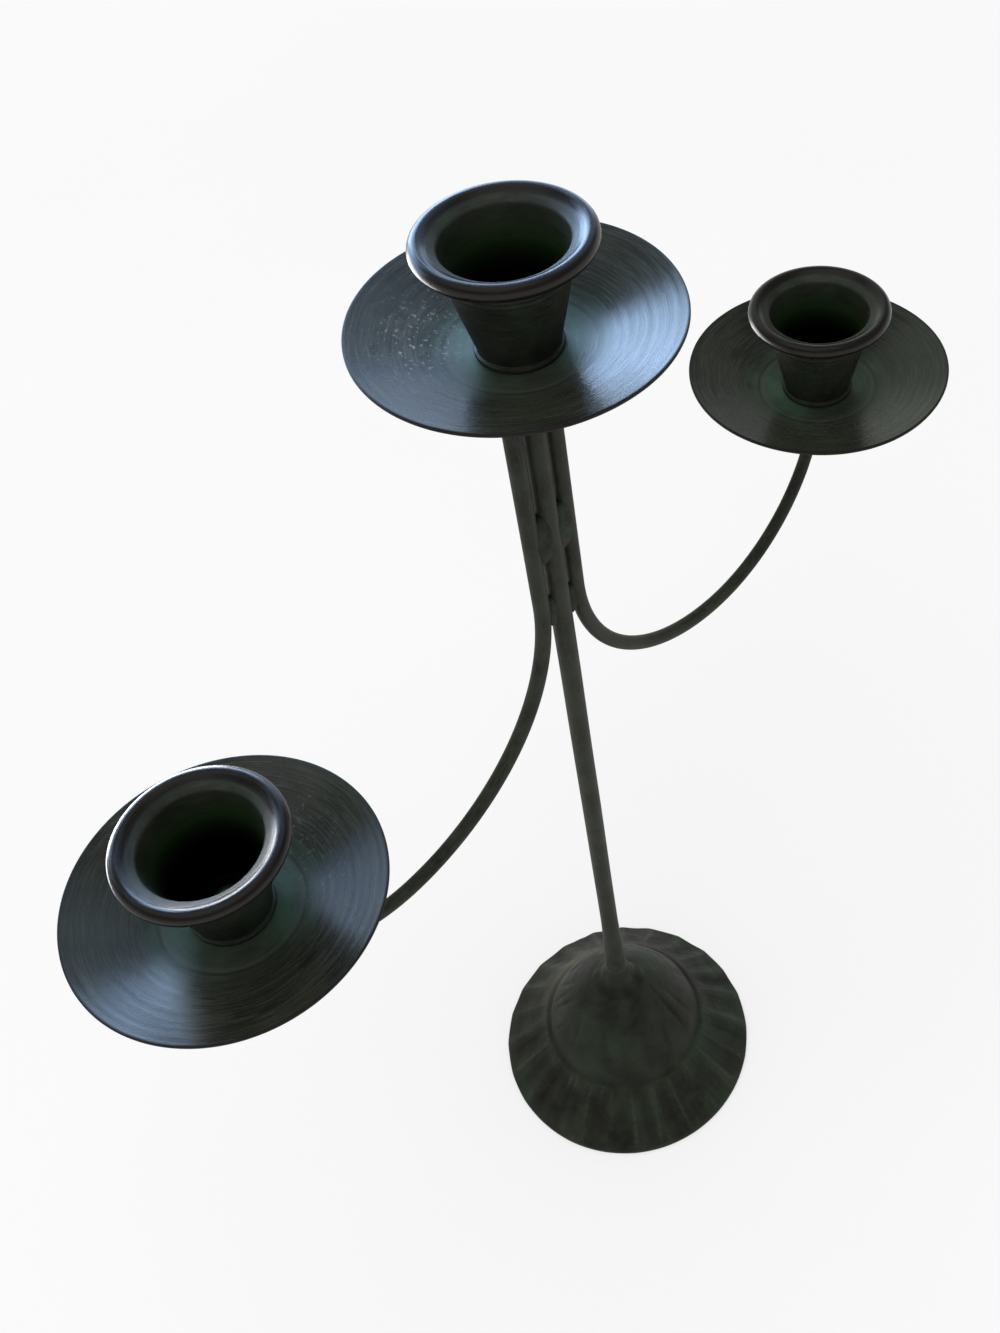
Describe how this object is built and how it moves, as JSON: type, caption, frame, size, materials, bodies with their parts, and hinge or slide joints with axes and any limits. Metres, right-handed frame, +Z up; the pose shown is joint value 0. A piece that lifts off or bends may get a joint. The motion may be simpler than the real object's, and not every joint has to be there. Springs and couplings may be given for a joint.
{
  "type": "three-light candelabra",
  "caption": "Free-standing metal candelabra: bell foot with hammered flutes, straight stem, U-bent side arms, and lights made of a dished drip pan and a flared candle cup.",
  "frame": {"origin": "centre of the foot on the table", "axes": "+Z up along the stem, +X towards the right arm's light, +Y away from the viewer"},
  "size_m": [0.2574, 0.08, 0.3177],
  "materials": {
    "foot_patina": "matt green-black patina on hammered sheet",
    "rod_patina": "matt green-black patina on drawn rod",
    "weld_patina": "rough green-black patina on weld metal",
    "pan_brushed": "dark brushed, rings about the axis, satin",
    "cup_patina": "satin green-black patina, brown-black on the lip",
    "fixings": "dull darkened steel"
  },
  "bodies": {
    "root": {"foot": "foot_patina", "stem": "rod_patina", "stem_weld": "weld_patina", "right_arm": "rod_patina", "left_arm": "rod_patina", "right_arm_weld": "weld_patina", "left_arm_weld": "weld_patina", "right_pan_collar": "rod_patina", "left_pan_collar": "rod_patina", "centre_drip_pan": "pan_brushed", "right_drip_pan": "pan_brushed", "left_drip_pan": "pan_brushed", "centre_candle_cup": "cup_patina", "right_candle_cup": "cup_patina", "left_candle_cup": "cup_patina", "centre_cup_washer": "fixings", "right_cup_washer": "fixings", "left_cup_washer": "fixings", "centre_cup_nut": "fixings", "right_cup_nut": "fixings", "left_cup_nut": "fixings"}
  },
  "joints": []
}
